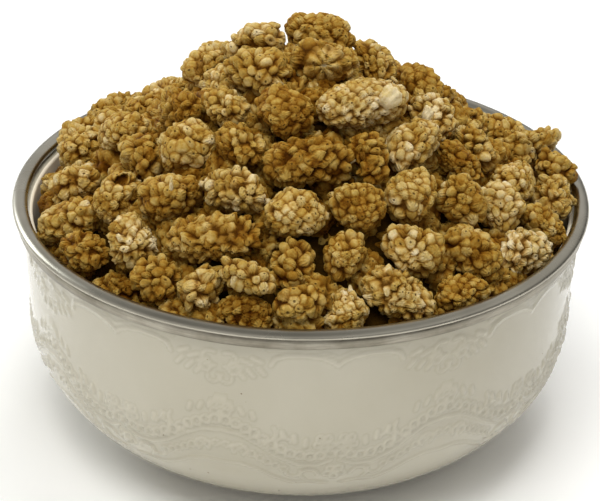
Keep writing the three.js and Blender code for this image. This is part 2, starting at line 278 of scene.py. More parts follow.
def collar_material():
    """Brushed metal: its streaks run round the collar."""
    surface = Surface("brushed_collar", Metallic=1.0)
    across, back, up = surface.parts(surface.place())
    unrolled = surface.add("CombineXYZ", {0: surface.math("ARCTAN2", back, across), 1: up})
    values = {"Vector": unrolled.outputs[0], "Scale": STREAK_SCALE}
    stretched = surface.add("Mapping", values).outputs[0]
    streaks = surface.noise(1.0, detail=4.0, roughness=0.6, vector=stretched)
    smudge = surface.noise(70.0, detail=4.0, roughness=0.6)
    metal = surface.ramp(smudge, COLLAR_STOPS)
    metal = surface.mix(surface.span(streaks, 0.3, 0.7, 0.0, 0.35), metal, STREAK_COLOR)
    surface.link("Base Color", metal)
    surface.link("Roughness", surface.span(smudge, 0.3, 0.7, 0.30, 0.46))
    surface.link("Normal", surface.bump(streaks, strength=0.25, distance=0.0001))
    return surface.material


# Fruit: colours from the darkest domes to the palest, and what creases leave of them as painted
# shade.
FRUIT_STOPS = [
    (0.00, color(116, 78, 20)),
    (0.25, color(150, 111, 38)),
    (0.50, color(179, 147, 72)),
    (0.75, color(201, 176, 114)),
    (1.00, color(226, 209, 168)),
]
CREASE_SHADE_STOPS = [
    (0.00, (0.20, 0.11, 0.03)),
    (0.30, (0.46, 0.31, 0.13)),
    (0.65, (0.82, 0.70, 0.48)),
    (0.95, (1.0, 1.0, 1.0)),
]
STAINS = 0.75
GRAIN = 0.45
OWN_TONES = 0.26
# A dome has a pit in a brown ring where its random mark is over one limit, and folds where the
# mark, once shuffled, is over another. Places are in dome sizes.
PIT_LIMIT = 0.62
PIT_RAGGED = 0.22
PIT_REACH = (0.17, 0.30)
PIT_COLOR = color(72, 44, 16)
PIT_DEPTH = 1.4
RING_REACH = 0.34
RING_WIDTH = 0.07
RING_COLOR = color(140, 88, 26)
FOLD_LIMIT = 0.4
FOLD_REACH = (0.2, 0.6)
FOLDS = 8.0
FOLD_TURNS = 9.0
FOLD_HEIGHT = 0.30
TONE_SHUFFLE = 37.7
FOLD_SHUFFLE = 91.3


def fruit_material(name):
    """Dried fruit: the mesh gives each point's tone and depth, and its place on its dome, with the
    dome's mark."""
    surface = Surface(name, Specular_IOR_Level=0.08, Subsurface_Weight=0.1,
                      Subsurface_Scale=0.001, Subsurface_Radius=(1.0, 0.7, 0.35))
    across, up, mark = surface.parts(surface.read("spot", "Vector"))
    out = surface.length(across, up)
    tone_mark = surface.math("FRACT", surface.times(mark, TONE_SHUFFLE))
    fold_mark = surface.math("FRACT", surface.times(mark, FOLD_SHUFFLE))

    stain = surface.swing(surface.noise(330.0, detail=3.0, roughness=0.6), STAINS)
    grain = surface.swing(surface.noise(1500.0, detail=3.0, roughness=0.6), GRAIN)
    own = surface.swing(tone_mark, OWN_TONES)
    tone = surface.math("ADD", surface.math("ADD", surface.read("tone"), stain),
                        surface.math("ADD", grain, own), clamp=True)
    # Painted shade: creases and the domes' feet are darkened by the depth.
    crease_shade = surface.ramp(surface.read("depth"), CREASE_SHADE_STOPS)
    body = surface.mix(1.0, surface.ramp(tone, FRUIT_STOPS), crease_shade, "MULTIPLY")

    has_pit = surface.math("GREATER_THAN", mark, PIT_LIMIT)
    ragged = surface.math("ADD", out, surface.times(surface.noise(1700.0), PIT_RAGGED))
    pit = surface.times(surface.span(ragged, *PIT_REACH, 1.0, 0.0), has_pit)
    off_ring = surface.math("ABSOLUTE", surface.math("SUBTRACT", out, RING_REACH))
    ring = surface.times(surface.span(off_ring, 0.0, RING_WIDTH, 1.0, 0.0), has_pit)
    body = surface.mix(surface.times(ring, 0.28), body, RING_COLOR)
    body = surface.mix(surface.times(pit, 0.8), body, PIT_COLOR)
    surface.link("Base Color", body)

    bearing = surface.times(surface.math("ARCTAN2", up, across), FOLDS)
    wander = surface.times(surface.noise(600.0), FOLD_TURNS)
    waves = surface.math("SINE", surface.math("ADD", bearing, wander))
    has_folds = surface.math("GREATER_THAN", fold_mark, FOLD_LIMIT)
    waves = surface.times(waves, surface.span(out, *FOLD_REACH))
    folds = surface.times(waves, has_folds)
    height = surface.math("ADD", surface.times(folds, FOLD_HEIGHT),
                          surface.noise(900.0, detail=5.0, roughness=0.72))
    height = surface.math("SUBTRACT", height, surface.times(pit, PIT_DEPTH))
    surface.link("Normal", surface.bump(height, strength=0.8, distance=0.0005))
    surface.link("Roughness", surface.span(surface.noise(500.0), 0.3, 0.7, 0.42, 0.68))
    return surface.material


SHADOW_STOPS = [(0.35, color(38, 25, 6)), (0.7, color(74, 50, 14))]
FLOOR_STOPS = [(0.0, color(248, 248, 247)), (1.0, color(251, 251, 250))]


def dark_heap_material():
    surface = Surface("heap_shadow", Roughness=0.9, Specular_IOR_Level=0.0)
    cloud = surface.noise(260.0, detail=3.0, roughness=0.6)
    surface.link("Base Color", surface.ramp(cloud, SHADOW_STOPS))
    surface.link("Normal", surface.bump(surface.noise(700.0), strength=0.8, distance=0.001))
    return surface.material


def floor_material():
    surface = Surface("pale_floor", Roughness=0.9)
    surface.link("Base Color", surface.ramp(surface.noise(3.0), FLOOR_STOPS))
    return surface.material


# Turned pieces

def turned(profile, sides, push=0):
    """Points and faces of a solid of revolution. A profile that starts on the axis ends there too,
    and any other closes on itself. push moves the rings' points out."""
    profile = np.asarray(profile, float)
    on_axis = profile[0, 0] == 0
    rings = profile[1:-1] if on_axis else profile
    angle = np.arange(sides) * math.tau / sides
    radius = rings[:, :1] + push
    points = np.stack([radius * np.cos(angle), radius * np.sin(angle),
                       np.repeat(rings[:, 1:], sides, 1)], 2).reshape(-1, 3)
    count = len(rings)
    pairs = [(j, (j + 1) % sides) for j in range(sides)]
    faces = []
    for i in range(count - 1 if on_axis else count):
        here, there = i * sides, (i + 1) % count * sides
        faces += [(here + j, here + k, there + k, there + j) for j, k in pairs]
    if on_axis:
        end, last = len(points), (count - 1) * sides
        points = np.vstack([points, [[0, 0, profile[0, 1]], [0, 0, profile[-1, 1]]]])
        for j, k in pairs:
            faces += [(end, k, j), (end + 1, last + j, last + k)]
    return points, faces


def belly(inset, from_height, count):
    """Points on the belly's quarter ellipse, moved inwards, from a height up to the wall's foot."""
    across = BELLY_WIDTH - inset
    down = BELLY_DEPTH - inset
    centre = WALL_FOOT_RADIUS - BELLY_WIDTH
    start = math.asin((WALL_FOOT_HEIGHT - from_height) / down)
    angle = start * (1 - np.arange(count) / count)
    return np.stack([centre + across * np.cos(angle), WALL_FOOT_HEIGHT - down * np.sin(angle)], 1)


def travel_along(path):
    """How far each point of a path lies from its start, along it."""
    return np.concatenate([[0], np.cumsum(np.linalg.norm(np.diff(path, axis=0), axis=1))])


def places_along(path, travel, distances):
    """Points at the given distances along a path."""
    return np.stack([np.interp(distances, travel, path[:, i]) for i in range(2)], 1)


# Relief of the bowl: one pattern of lines, leaves and flowers, mirrored and repeated. A stroke is
# points across and down from the collar, with its shares of a line's width and height.
REPEATS = 8
COLUMNS = 104
PATTERN_BEARING = 8.0
FRONT_BEARING = 0.25
HALF_REPEAT = math.pi * WALL_RADIUS / REPEATS
LINE_HEIGHT = 0.42
LINE_WIDTH = 0.50
LOW_PATTERN_DOWN = (18, 26)
LOW_PATTERN_SHARE = 1.35
ARC_POINTS = 9
# Rows of points down from the collar, as ranges, close together over the relief.
ROWS = ((0, 15, 0.65), (15, 18, 1.5), (18, 48, 0.6), (48, 77, 2.5))
BELLY_POINTS = 60
LAST_ROW_GAP = 1.0


def around(across, down, radius, turn):
    """Points round a middle, turned in degrees from straight across, towards down."""
    angle = np.radians(turn)
    return np.stack([across + radius * np.cos(angle), down + radius * np.sin(angle)], -1)


def arc(across, down, radius, start=0, end=360):
    return around(across, down, radius, np.linspace(start, end, ARC_POINTS))


def flower(across, down, size, petals=5):
    """Rings for petals round a middle dot, which is a very short line."""
    dot = [(across, down), (across + 0.01, down)]
    middles = around(across, down, size, 360 * (np.arange(petals) + 0.25) / petals)
    return [(dot, 1.1, 1.2), *((arc(*middle, size * 0.52), 0.72, 0.9) for middle in middles)]


def chain(path, radius, step, width, share):
    """Rings side by side along a path."""
    path = np.asarray(path, float)
    travel = travel_along(path)
    middles = places_along(path, travel, np.arange(step / 2, travel[-1], step))
    return [(arc(*middle, radius), width, share) for middle in middles]


def leaf(across, down, reach, turn):
    """A short thick stroke from its root."""
    return ([(across, down), around(across, down, reach, turn)], 1.1, 1.0)


def pattern_strokes():
    """Strokes of half a repeat, from its middle to its edge."""
    edge = HALF_REPEAT
    scallop = [(0, 5.6), (1.4, 4.4), (3.6, 3.3), (8, 2.5), (12.5, 2.7), (15.2, 3.7), (16.2, 5.6)]
    hem = [(0, 3.4), (1.5, 2.6), (5, 1.4), (11, 1.0), (17, 1.4)]
    upper_band = [(1.0, 33.8), (5.0, 35.6), (9.5, 35.2), (14.5, 32.6), (19, 29.2), (23.5, 26.8),
                  (edge, 26.0)]
    lower_band = [(2.0, 43.5), (6, 42.6), (11, 43.0), (15.5, 40.6), (19.5, 37.8), (24, 36.2),
                  (edge, 36.4)]
    upper_chain = [(0, 31.2), (6, 32.4), (11, 31.6), (16, 28.8), (21, 25.4), (26, 23.2),
                   (edge, 22.8)]
    lower_chain = [(12, 37.4), (17, 34.6), (22, 31.6), (edge, 29.8)]
    strokes = [
        (scallop, 1.0, 1.2),
        (hem, 0.8, 0.6),
        (arc(edge - 3.6, 7.6, 1.5, -60, 210), 0.8, 1.0),
        (arc(edge - 2.3, 5.4, 2.2, 60, 300), 0.85, 1.0),
        (arc(edge - 1.7, 10.6, 1.5, -40, 200), 0.8, 0.9),
        (upper_band, 0.8, 0.9),
        (lower_band, 0.8, 0.8),
        (arc(6.5, 39.4, 2.3, 180, 420), 0.75, 1.0),
        (arc(10.6, 38.2, 1.9, 0, 200), 0.75, 1.0),
        (arc(17.5, 25.4, 2.6, 20, 220), 0.8, 1.0),
        (arc(13.0, 28.6, 2.0, 200, 420), 0.8, 0.9),
        (arc(24.0, 31.4, 1.9, 120, 400), 0.75, 0.9),
    ]
    strokes += chain(upper_chain, 1.25, 2.6, 0.66, 1.0)
    strokes += chain(lower_chain, 0.95, 2.3, 0.62, 0.8)
    strokes += flower(2.9, 28.2, 1.7)
    strokes += flower(0, 38.2, 1.9)
    strokes += flower(edge, 19.2, 2.0, 6)
    for i, across in enumerate((18.4, 21.0, 23.4)):
        strokes.append(leaf(across, 5.0 + 0.9 * i, 2.6, -25))
        strokes.append(leaf(across - 0.6, 8.4 + 0.8 * i, 2.3, -50))
    for i in range(3):
        strokes.append(leaf(7.6 + 2.6 * i, 29.0 - 1.2 * i, 1.8, -95 + 14 * i))
        strokes.append(leaf(20.5 + 2.7 * i, 21.6 - 1.0 * i, 1.8, -75 + 10 * i))
    return strokes


def relief(down):
    """Heights of the pattern, once round the wall, for rows at distances below the collar."""
    across = (np.arange(COLUMNS) + 0.5) / COLUMNS * 2 * HALF_REPEAT - HALF_REPEAT
    grid = np.stack(np.meshgrid(np.abs(across), down), 2)
    height = np.zeros(grid.shape[:2])
    for line, width, share in pattern_strokes():
        line = np.asarray(line, float)
        near = np.full(height.shape, np.inf)
        for start, end in zip(line[:-1], line[1:]):
            way = end - start
            along = np.clip((grid - start) @ way / (way @ way), 0, 1)[..., None]
            near = np.minimum(near, np.linalg.norm(grid - start - along * way, axis=2))
        raised = np.exp(-(near / (LINE_WIDTH * width)) ** 2) * LINE_HEIGHT * share
        height = np.maximum(height, raised)
    height *= np.interp(down, LOW_PATTERN_DOWN, (1, LOW_PATTERN_SHARE))[:, None]
    turn = (PATTERN_BEARING / 360 - FRONT_BEARING) * REPEATS * COLUMNS - COLUMNS / 2
    return np.roll(np.tile(height, REPEATS), round(turn), axis=1)


def lip_arc(middle, degrees):
    """Points of one of the lip's rounded edges, at angles from straight up, turning outwards."""
    centre = LIP_HEIGHT - LIP_ROUND
    return [(middle + LIP_ROUND * math.sin(a), centre + LIP_ROUND * math.cos(a))
            for a in np.radians(degrees)]


def make_bowl():
    collar = RIM_HEIGHT - COLLAR_DROP
    wall = np.vstack([[[WALL_RADIUS, collar]], [[WALL_FOOT_RADIUS, WALL_FOOT_HEIGHT]],
                      belly(0, 0, BELLY_POINTS)[::-1]])
    travel = travel_along(wall)
    rows = np.concatenate([np.arange(*row) for row in ROWS])
    rows = np.append(rows[rows < travel[-1] - LAST_ROW_GAP], travel[-1])
    outside = places_along(wall, travel, rows)
    lip = [*lip_arc(WALL_RADIUS - LIP_ROUND, [90, 60, 30, 0]),
           *lip_arc(WALL_RADIUS - WALL_THICKNESS + LIP_ROUND, [0, -30, -60, -90])]
    inside = [(WALL_FOOT_RADIUS - WALL_THICKNESS, WALL_FOOT_HEIGHT),
              *belly(WALL_THICKNESS, FLOOR_THICKNESS, 7)[::-1]]
    foot = wall[-1, 0]
    recess = foot - FOOT_RING_WIDTH
    base = [(0, FOOT_RECESS), (recess, FOOT_RECESS), (recess + FOOT_RECESS_SLOPE, 0),
            (foot - FOOT_EDGE, 0)]
    profile = np.array([*base, *outside[::-1], *lip, *inside, (0, FLOOR_THICKNESS)])
    push = np.zeros((len(profile) - 2, REPEATS * COLUMNS))
    first = len(base) - 1
    push[first:first + len(outside)] = relief(rows)[::-1]
    points, faces = turned(profile, REPEATS * COLUMNS, push)
    piece = make_piece("bowl_glazed", points, faces, glaze_material(), "glaze", "bowl")
    raised = np.zeros(len(points))
    raised[:push.size] = push.reshape(-1) / LINE_HEIGHT
    store(piece, "raised", raised)


def make_rim():
    half_width = BEAD_WIDTH / 2
    bead = []
    for angle in np.radians(np.arange(0, 360, BEAD_STEP)):
        rise = BEAD_RISE if math.sin(angle) > 0 else BEAD_FALL
        bead.append((BEAD_RADIUS - half_width + half_width * math.cos(angle),
                     RIM_HEIGHT + rise * math.sin(angle)))
    make_piece("rim_bead", *turned(bead, RIM_SIDES), bead_material(), "rim_metal", "rim_band")
    inner, outer = WALL_RADIUS + GAP, COLLAR_RADIUS
    low, high = RIM_HEIGHT - COLLAR_DROP, RIM_HEIGHT - COLLAR_TOP_DROP
    collar = [(inner, low), (outer - COLLAR_BEVEL, low), (outer, low + COLLAR_BEVEL),
              (outer, (low + high) / 2), (outer, high - COLLAR_BEVEL),
              (outer - COLLAR_TUCK, high + COLLAR_LAP), (inner, high + COLLAR_LAP)]
    make_piece("rim_collar", *turned(collar, RIM_SIDES), collar_material(), "rim_metal", "rim_band")


# Berry form: a smooth body with blunt ends and a slight taper, covered with domes.
BLUNTNESS = 0.42
TAPER = 0.08
BODY_END = 0.9999
# Natures of berry: chance, the domes' area, height, least and most size, narrowest width and lean,
# and the wrinkles' depth.
Nature = namedtuple("Nature", "chance area height least most narrowest lean wrinkle")
NATURES = [
    Nature(0.36, 6.6, 1.75, 0.62, 0.74, 0.80, 0.10, 0.10),
    Nature(0.24, 7.6, 2.10, 0.56, 0.68, 0.68, 0.20, 0.12),
    Nature(0.18, 4.8, 1.40, 0.60, 0.72, 0.78, 0.10, 0.12),
    Nature(0.22, 5.8, 1.80, 0.56, 0.74, 0.58, 0.22, 0.17),
]
# The body lies this share of a dome's height inside the berry.
BODY_INSET = 0.88
DOME_POWER = 2.4
DOME_ROUND = 0.52
DOME_AREAS = (0.85, 1.15)
DOME_HEIGHTS = (0.76, 1.10)
DOME_SCATTER = 0.16
LAST_DOME = 0.995
HONEYCOMB = 1.1547
LOW_DOME_SHARE = 0.06
LOW_DOME_HEIGHT = 0.4
LEAN_SHARPNESS = 5
CRATER_SHARE = 0.22
CRATER_SIZE = 0.30
CRATER_DEPTHS = (0.2, 0.5)
CREASE_DEPTH = 0.6
CREASE_SNAP = 0.45
TONE_PATCHES = 0.15
DOME_TONES = 0.07
# Open hollow in a berry's end: radius and depth.
HOLLOW_RADIUS = 2.7
HOLLOW_DEPTH = 4.5
# Drying flattens a berry, bends it and dents it.
FLATNESS = (0.88, 1.0)
BEND = 0.045
DENTS = (0.07, 0.10, 0.12, 0.16)
DENT_REACHES = (0.20, 0.36)
ANY_PHASE = 6.3

# A fruit mesh: points, triangles, corners' places and marks, and points' depths and tones.
Form = namedtuple("Form", "points faces spot depth tone")
# A place on a dome's rim, with a mark that gives neither a pit nor folds.
PLAIN_SPOT = [1.0, 0.0, 0.1]


def geodesic(parts):
    """Directions over a ball and the triangles between them: an icosahedron, its edges in parts."""
    gold = (1 + math.sqrt(5)) / 2
    corners = []
    for a in (-1, 1):
        for b in (-gold, gold):
            corners += [(0, a, b), (a, b, 0), (b, 0, a)]
    corners = np.array(corners)
    edge_limit = 2.1
    points, faces = [], []
    for side in combinations(corners, 3):
        if max(np.linalg.norm(p - q) for p, q in combinations(side, 2)) > edge_limit:
            continue
        a, b, c = side
        if np.dot(np.cross(b - a, c - a), a) < 0:
            b, c = c, b
        rows = {}
        for i in range(parts + 1):
            for j in range(parts + 1 - i):
                rows[i, j] = len(points)
                points.append((a * (parts - i - j) + b * i + c * j) / parts)
        for i in range(parts):
            for j in range(parts - i):
                faces.append((rows[i, j], rows[i + 1, j], rows[i, j + 1]))
                if i + j < parts - 1:
                    faces.append((rows[i + 1, j], rows[i + 1, j + 1], rows[i, j + 1]))
    points = unit(np.array(points))
    _, first, same = np.unique(np.round(points, 6), axis=0, return_index=True, return_inverse=True)
    return points[first], same.reshape(-1)[np.array(faces)]


def body_surface(directions, half_length, half_width):
    """Points and normals of a berry's smooth body along X, in the given directions."""
    x = np.clip(directions[:, 0], -BODY_END, BODY_END)
    ring = np.linalg.norm(directions[:, 1:], axis=1)
    around = directions[:, 1:] / np.maximum(ring, 1e-6)[:, None]
    rest = 1 - x ** 2
    radius = half_width * rest ** BLUNTNESS * (1 - TAPER * x)
    slope = half_width * (-2 * BLUNTNESS * x * rest ** (BLUNTNESS - 1) * (1 - TAPER * x)
                          - TAPER * rest ** BLUNTNESS) / half_length
    points = np.column_stack([half_length * x, around * radius[:, None]])
    return points, unit(np.column_stack([-slope, around]))


def dome_directions(random, half_length, half_width, dome_area):
    """Directions of the domes' middles, spread loosely over the body, and their spacing."""
    x = np.linspace(-BODY_END, BODY_END, 400)
    radius = half_width * (1 - x ** 2) ** BLUNTNESS
    slant = np.hypot(np.diff(x) * half_length, np.diff(radius))
    area = np.cumsum(slant * (radius[1:] + radius[:-1]) * math.pi)
    count = int(area[-1] / dome_area)
    spacing = math.sqrt(area[-1] / count * HONEYCOMB)
    share = (np.arange(count) + 0.5) / count * area[-1]
    along = (np.interp(share, area, x[1:])
             + random.normal(0, DOME_SCATTER, count) * spacing / half_length)
    along = np.clip(along, -LAST_DOME, LAST_DOME)
    ring = np.sqrt(1 - along ** 2)
    angle = (np.arange(count) * GOLDEN_ANGLE
             + random.normal(0, DOME_SCATTER, count) * spacing / (half_width * ring))
    return np.column_stack([along, ring * np.cos(angle), ring * np.sin(angle)]), spacing


class Domes:
    """The domes over a berry's body: their middles, own directions, sizes and heights."""

    def __init__(self, random, half_length, half_width, nature):
        rise = nature.height / 2
        area = nature.area * random.uniform(*DOME_AREAS)
        aims, spacing = dome_directions(random, half_length + rise, half_width + rise, area)
        count = len(aims)
        self.count = count
        self.middles, self.ups = body_surface(aims, half_length, half_width)
        first = unit(np.cross(self.ups, [0.3, 1.0, 0.2]))
        second = np.cross(self.ups, first)
        turn = random.uniform(0, math.pi, count)[:, None]
        self.first = first * np.cos(turn) + second * np.sin(turn)
        self.second = second * np.cos(turn) - first * np.sin(turn)
        body_spacing = spacing * half_width / (half_width + rise)
        self.size = body_spacing * random.uniform(nature.least, nature.most, count)
        self.narrow = random.uniform(nature.narrowest, 1.0, count)
        self.height = nature.height * random.uniform(*DOME_HEIGHTS, count)
        self.height[random.random(count) < LOW_DOME_SHARE] *= LOW_DOME_HEIGHT
        self.lean = (self.first * random.normal(0, nature.lean, (count, 1))
                     + self.second * random.normal(0, nature.lean, (count, 1)))
        has_crater = random.random(count) < CRATER_SHARE
        self.crater = np.where(has_crater, random.uniform(*CRATER_DEPTHS, count), 0)

    def local(self, points, chosen=slice(None)):
        """Places of points over the domes, in dome sizes: along both directions and outwards."""
        away = points[:, None] - self.middles[chosen]
        size = self.size[chosen]
        u, v, w = ((away * way[chosen]).sum(axis=2) for way in (self.first, self.second, self.ups))
        return u / size, v / (size * self.narrow[chosen]), w / size

    def rise(self, points, chosen=slice(None)):
        """How far the domes stand out over points of the body."""
        u, v, w = self.local(points, chosen)
        reach = u * u + v * v + 1.2 * w * w
        crater = 1 - self.crater[chosen] * np.exp(-reach / CRATER_SIZE ** 2)
        round_top = np.maximum(0, 1 - reach ** (DOME_POWER / 2)) ** DOME_ROUND
        return self.height[chosen] * crater * round_top


def on_creases(points, domes, most):
    """Moves points that lie close to a crease between two domes onto it."""
    pair = np.argsort(domes.rise(points), axis=1)[:, -2:]
    way = unit(domes.middles[pair[:, 0]] - domes.middles[pair[:, 1]])
    probe = 0.02
    here = domes.rise(points, pair)
    there = domes.rise(points + way * probe, pair)
    gap = here[:, 1] - here[:, 0]
    slope = (gap - (there[:, 1] - there[:, 0])) / probe
    step = gap / np.maximum(slope, 0.05)
    step[(step > most) | (here[:, 0] <= 0)] = 0
    return points + way * step[:, None]


def berry_form(random, length, width, ball, tone, hollow=False):
    """One dried mulberry along X."""
    directions, faces = ball
    nature = NATURES[random.choice(len(NATURES), p=[n.chance for n in NATURES])]
    half_length = length / 2 - nature.height * BODY_INSET
    half_width = width / 2 - nature.height * BODY_INSET
    points, normals = body_surface(directions, half_length, half_width)
    domes = Domes(random, half_length, half_width, nature)
    mesh_step = math.sqrt(math.pi * length * width / len(points))
    points = on_creases(points, domes, mesh_step * CREASE_SNAP)
    rise = domes.rise(points)
    second, top = np.sort(rise, axis=1)[:, -2:].T

    owner = rise[faces].sum(axis=1).argmax(axis=1)
    marks = np.repeat(random.random(domes.count)[owner], 3)[:, None]
    u, v, _ = domes.local(points[faces.reshape(-1)], np.repeat(owner, 3)[:, None])
    spot = np.hstack([u, v, marks])

    share = np.exp(rise * LEAN_SHARPNESS)
    share /= share.sum(axis=1)[:, None]
    placed = points + (normals + share @ domes.lean) * top[:, None]
    # The material's depth is low where domes meet and at their feet, and the material darkens it
    # there as painted shade.
    openness = np.clip((top - second) / CREASE_DEPTH, 0, 1)
    depth = 0.45 * openness + 0.55 * np.clip((top / nature.height - 0.3) / 0.55, 0, 1)
    if hollow:
        out = np.hypot(placed[:, 1], placed[:, 2])
        inside = np.clip(1 - (out / HOLLOW_RADIUS) ** 2, 0, 1) * (placed[:, 0] > 0)
        placed[:, 0] -= inside * HOLLOW_DEPTH
        # The hollow's inside is darkened as painted shade.
        depth *= 1 - inside
    patch = sum(np.sin(placed @ random.normal(0, 0.28, 3) + random.uniform(0, ANY_PHASE))
                for _ in range(3)) / 3
    own = random.normal(0, DOME_TONES, domes.count)[rise.argmax(axis=1)]
    shade = tone + TONE_PATCHES * patch + own
    return Form(dried(random, placed, length, width, nature.wrinkle), faces, spot, depth, shade)


def dried(random, points, length, width, wrinkle):
    """A berry's points once it is flattened, bent, dented and wrinkled."""
    half = length / 2
    points = points * [1, 1, random.uniform(*FLATNESS)]
    bend = random.normal(0, BEND) * length
    spin = random.uniform(0, math.tau)
    bow = bend * ((points[:, 0] / half) ** 2 - 0.35)
    points = points + np.outer(bow, [0, math.cos(spin), math.sin(spin)])
    for dent in DENTS:
        aim = unit(random.normal(0, 1, 3) * [0.7, 1, 1])
        hit = aim * [half * 0.9, width / 2, width / 2]
        near = np.linalg.norm(points - hit, axis=1) / (width * random.uniform(*DENT_REACHES))
        drop = np.exp(-near ** 2) * width * random.uniform(0.3, 1.0) * dent
        points = points - np.outer(drop, aim)
    for often, amount in ((0.35, 0.35), (0.9, 0.18), (1.8, wrinkle), (2.6, wrinkle / 2)):
        wave = points @ random.normal(0, often, (3, 3)) + random.uniform(0, ANY_PHASE, 3)
        points = points + amount * np.sin(wave)
    return points


def plain_form(points, faces, tone):
    """A form with no creases and no pits, in one tone."""
    spot = np.tile(PLAIN_SPOT, (len(faces) * 3, 1))
    return Form(points, faces, spot, np.ones(len(points)), np.full(len(points), tone))


def pale_lobe(place, radii, tone, ball):
    """A swollen, nearly white lobe or bit of stalk, beside a berry's middle."""
    directions, faces = ball
    dents = (0.10 * np.sin(directions @ [3.0, 4.0, 2.0])
             + 0.06 * np.sin(directions @ [-7.0, 5.0, 6.0]))
    return plain_form(directions * radii * (1 + dents[:, None]) + place, faces, tone)


def stalk_stub(random, half_length, ball):
    """A short pale stalk end on a berry's narrow end."""
    directions, faces = ball
    radius = random.uniform(*STUB_RADII)
    reach = random.uniform(*STUB_REACHES)
    points = directions * [reach, radius, radius] * (1 + 0.12 * np.sin(directions[:, :1] * 7 + 1))
    points = points + np.outer(directions[:, 0], [0, *random.normal(0, STUB_LEAN, 2)])
    return plain_form(points + [half_length - STUB_ROOT, 0, 0], faces, STUB_TONE)


def facing(points, place):
    """Offsets from a place, across, up and towards the camera, and that last direction."""
    slope = math.radians(CAMERA_ELEVATION)
    forward = np.array([0, -math.cos(slope), math.sin(slope)])
    offset = points - place
    return offset[:, 0], offset @ [0, math.sin(slope), math.cos(slope)], offset @ forward, forward


def open_pit(form, place, radii, drop):
    """Presses a dried berry's open pit into its front, and darkens the pit as painted shade."""
    across, up, out, forward = facing(form.points, place)
    round_pit = np.clip(1.3 - (across / radii[0]) ** 2 - (up / radii[1]) ** 2, 0, 1)
    inside = round_pit * (out > -PIT_BACK)
    return form._replace(points=form.points - np.outer(inside * drop, forward),
                         depth=form.depth * (1 - inside), tone=form.tone - 0.2 * inside)


def rosette(form, place, radius, petals, height):
    """Smooths the front of a berry to a bowed surface and raises petals round a pale mark on it."""
    points, _, _, depth, tone = form
    across, up, out, forward = facing(points, place)
    near = np.flatnonzero((np.hypot(across, up) < radius) & (out > -radius))
    across, up, out = across[near], up[near], out[near]
    reach = np.hypot(across, up) / radius
    bowed = np.stack([across ** 0, across, up, across ** 2, up ** 2, across ** 4, up ** 4], 1)
    smooth = bowed @ np.linalg.lstsq(bowed, out, rcond=None)[0]
    turn = np.arctan2(up, across) + 0.5
    petal = np.abs(np.sin(petals / 2 * turn)) ** 0.5 * np.sin(math.pi * reach ** 0.7) ** 0.7
    blend = np.clip((1 - reach) / 0.25, 0, 1)
    points[near] += np.outer((smooth + height * (petal - 0.6) - out) * blend, forward)
    # Between the petals the depth falls, so the material paints shade there.
    depth[near] = depth[near] * (1 - blend) + blend * petal
    tone[near] += 0.12 * blend
    middle = near[reach < 0.11]
    depth[middle] = 1.0
    tone[middle] = 0.95
    return form


def join_forms(forms):
    """Several forms in one."""
    points, faces, *values = zip(*forms)
    first = np.cumsum([0] + [len(some) for some in points])
    faces = [some + start for some, start in zip(faces, first)]
    return Form(*map(np.concatenate, (points, faces, *values)))


def place_form(form, centre, axis, roll):
    """Turns a form that lies along X to its own place and direction."""
    turn = Vector((1, 0, 0)).rotation_difference(Vector(axis))
    matrix = np.array(turn.to_matrix()) @ np.array(Euler((roll, 0, 0)).to_matrix())
    return form._replace(points=form.points @ matrix.T + centre)


def make_fruit(name, form, material, slot, replaced):
    piece = make_piece(name, form.points, form.faces.tolist(), material, slot, replaced)
    for name in ("spot", "depth", "tone"):
        store(piece, name, getattr(form, name))


# Loose berries, one for each berry node. The parts say how fine a mesh is.
LOOSE_PARTS = 17
LOBE_PARTS = 8
STUB_PARTS = 4
# A node's plain solid has this share of its berry's length and width.
SOLID_SHARE = 0.93
TONES = {"mulberry_pale": 0.66, "mulberry_honey": 0.52, "mulberry_amber": 0.36}
TONE_SPREAD = 0.04
LIGHTER = (4, 12, 13, 14, 18, 20, 21, 27, 29, 30, 41, 54)
DARKER = (5, 8, 23, 24, 26, 35, 42)
TONE_SHIFT = 0.09
HOLLOW_SHARE = 0.12
STUB_SHARE = 0.2
STUB_RADII = (0.55, 0.85)
STUB_REACHES = (1.0, 2.0)
STUB_LEAN = 0.25
STUB_ROOT = 0.5
STUB_TONE = 0.74
# Pale lobes and a bit of stalk that stand out: place, radii and tone.
PALE_LOBES = {
    "mulberry_22": ((-32, -36.5, 84.5), (0.5, 0.6, 2.4), 0.85),
    "mulberry_33": ((32, -9.5, 92), (1.5, 1.9, 2.6), 0.92),
    "mulberry_38": ((22, -17.4, 100.6), (2.9, 2.4, 3.0), 0.80),
}
# An open pit in the front of a berry: place, half width and half height, and drop.
PITS = {"mulberry_23": ((-45.8, -28.7, 82.4), (2.5, 1.7), 3.4)}
PIT_BACK = 3
# A berry seen end on, its lobes like petals: place, radius, petals and rise.
ROSETTES = {"mulberry_49": ((5.3, -8.6, 105.1), 5.8, 7, 2.2)}


def read_berry(node):
    """Middle, axis, length and width of a berry node, in millimetres."""
    mesh = frame["nodes"][node].data
    points = np.empty(len(mesh.vertices) * 3)
    mesh.vertices.foreach_get("co", points)
    points = np.unique(np.round(points.reshape(-1, 3) / MM, 4), axis=0)
    mean = points.mean(axis=0)
    _, _, axes = np.linalg.svd(points - mean)
    spread = (points - mean) @ axes.T
    low, high = spread.min(axis=0), spread.max(axis=0)
    reach = high - low
    axis = axes[0] if axes[0][0] > 0 else -axes[0]
    return SimpleNamespace(centre=mean + (high + low) / 2 @ axes, axis=axis,
                           length=reach[0] / SOLID_SHARE,
                           width=(reach[1] + reach[2]) / 2 / SOLID_SHARE)


